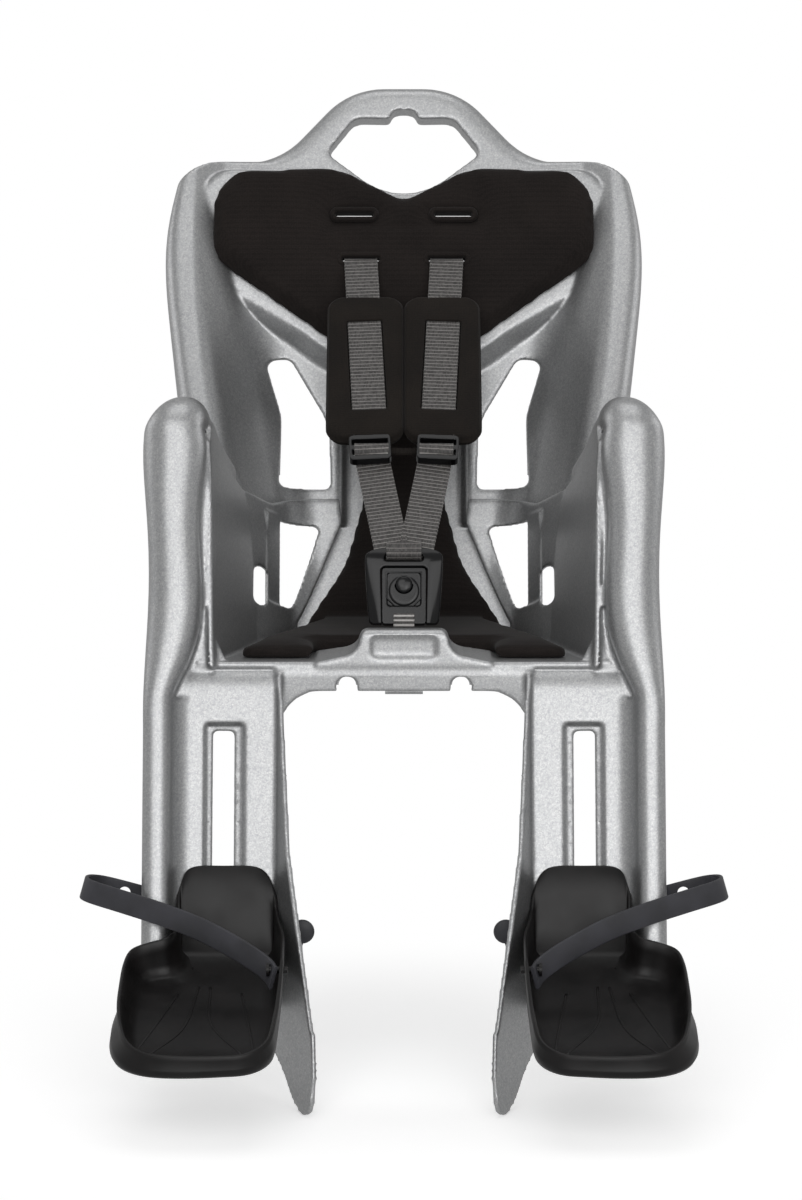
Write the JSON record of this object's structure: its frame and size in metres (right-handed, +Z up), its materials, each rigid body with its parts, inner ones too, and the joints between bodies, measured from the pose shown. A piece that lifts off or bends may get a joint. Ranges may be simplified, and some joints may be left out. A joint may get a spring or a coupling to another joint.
{
  "type": "child bike seat",
  "caption": "Reclined child seat for a bicycle's rear carrier bow, with moulded shell, padded cover, buckled harness, and footrests that slide on the legs.",
  "frame": {"origin": "midway between the two bow saddles, on the rod centre line, at the front face of the apron", "axes": "+X to the seat's right-hand side as seen from the front, -Y the way the child faces, +Z up"},
  "size_m": [0.4476, 0.5936, 0.6955],
  "materials": {
    "shell": "satin metallic flake",
    "bracket": "satin",
    "pad": "woven, matt",
    "shoulder_pad": "woven, matt",
    "webbing": "woven",
    "buckle": "gloss",
    "button": "gloss",
    "footrest": "satin",
    "strap": "satin",
    "steel": "plain"
  },
  "bodies": {
    "seat": {"seat_shell": "shell", "backrest_shell": "shell", "backrest_screws": "steel", "bow_bracket": "bracket", "bracket_screws": "steel", "seat_pad": "pad", "lower_webbing": "webbing", "keeper_band": "webbing", "buckle_yoke": "buckle", "buckle_case": "buckle", "buckle_back": "buckle", "buckle_spring": "steel", "crotch_strap": "webbing", "crotch_anchor": "steel", "shoulder_webbing_left": "webbing", "shoulder_pad_left": "shoulder_pad", "strap_adjuster_left": "buckle", "strap_anchor_left": "steel", "shoulder_webbing_right": "webbing", "shoulder_pad_right": "shoulder_pad", "strap_adjuster_right": "buckle", "strap_anchor_right": "steel"},
    "footrest_left": {"footrest_left": "footrest", "carriage_left": "footrest", "carriage_screws_left": "steel", "foot_strap_left": "strap", "strap_stud_left": "footrest", "strap_rivet_left": "footrest"},
    "footrest_right": {"footrest_right": "footrest", "carriage_right": "footrest", "carriage_screws_right": "steel", "foot_strap_right": "strap", "strap_stud_right": "footrest", "strap_rivet_right": "footrest"},
    "release_button": {"buckle_button": "button"}
  },
  "joints": [
    {"name": "footrest_left_slide", "type": "slide", "parent": "seat", "child": "footrest_left", "axis": [0, 0.2756, 0.9613], "range_m": [0, 0.084]},
    {"name": "footrest_right_slide", "type": "slide", "parent": "seat", "child": "footrest_right", "axis": [0, 0.2756, 0.9613], "range_m": [0, 0.084]},
    {"name": "buckle_press", "type": "slide", "parent": "seat", "child": "release_button", "axis": [0, 0.9659, -0.2588], "range_m": [0, 0.002], "stiffness_N_per_m": 400, "springref_m": -0.002, "deforming": ["buckle_spring"]}
  ]
}
